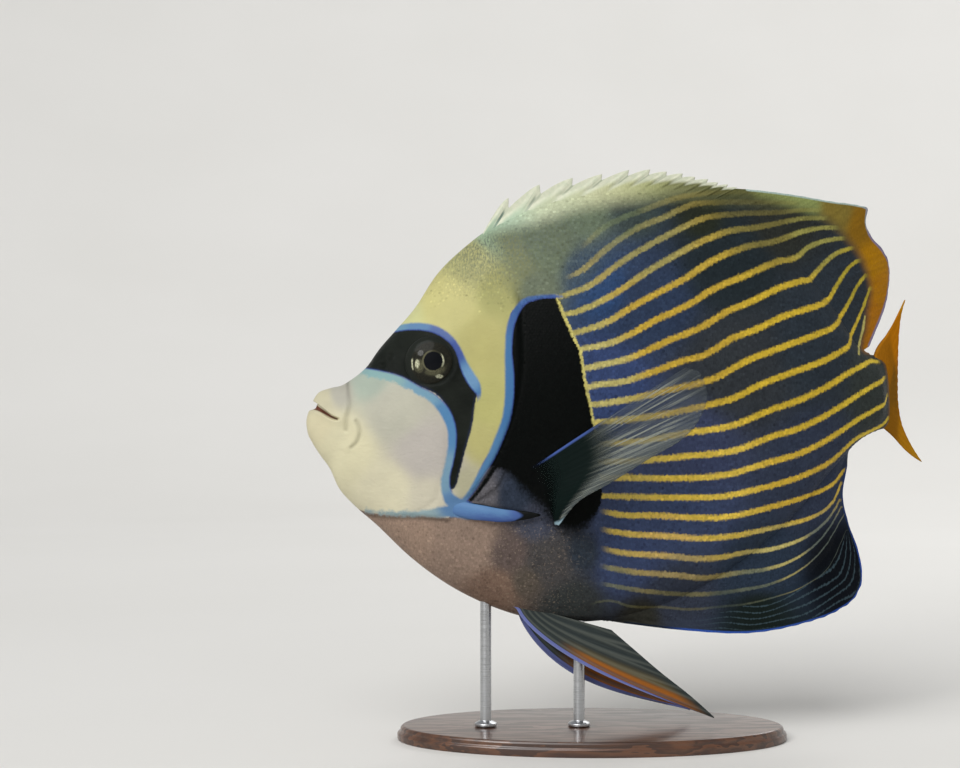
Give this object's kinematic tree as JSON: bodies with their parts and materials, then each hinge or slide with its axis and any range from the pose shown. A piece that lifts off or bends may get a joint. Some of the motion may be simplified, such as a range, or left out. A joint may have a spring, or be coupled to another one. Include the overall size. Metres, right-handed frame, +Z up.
{
  "type": "emperor angelfish",
  "caption": "Still model of an adult angelfish: deep flat body bent towards the tail, masked face, curved stripes, rayed fins, held by two rods on an oval base.",
  "frame": {"origin": "centre of the stand base's underside, on the floor", "axes": "+Z up, the fish faces -X, its left side is towards -Y, and its tail bends towards +Y"},
  "size_m": [0.2994, 0.1515, 0.2573],
  "materials": {
    "skin": "scaly fish skin, navy blue with thin yellow stripes, pale face, black mask and blue lines",
    "fin_pale": "pale mint spines with dull blue-grey membrane",
    "fin_orange": "ochre to golden orange fin membrane with fine rays",
    "fin_dark": "blue-black fin with thin grey contour lines and a bright blue margin",
    "fin_grey": "thin blue-grey membrane with pale rays, dark at the base",
    "fin_blue": "periwinkle front edge, orange-brown band and blue-grey membrane",
    "eye": "glossy dark eye with a thin gold ring round the pupil",
    "stand_wood": "dark stained and satin varnished wood",
    "stand_steel": "brushed steel"
  },
  "bodies": {
    "root": {"head": "skin", "trunk": "skin", "tail_stem": "skin", "dorsal_fin_spiny": "fin_pale", "dorsal_fin_soft": "fin_orange", "anal_fin": "fin_dark", "tail_fin": "fin_orange", "pectoral_fin_left": "fin_grey", "pectoral_fin_right": "fin_grey", "pelvic_fin_left": "fin_blue", "pelvic_fin_right": "fin_blue", "eye_left": "eye", "eye_right": "eye", "stand_base": "stand_wood", "stand_rod_front": "stand_steel", "stand_rod_rear": "stand_steel"}
  },
  "joints": []
}
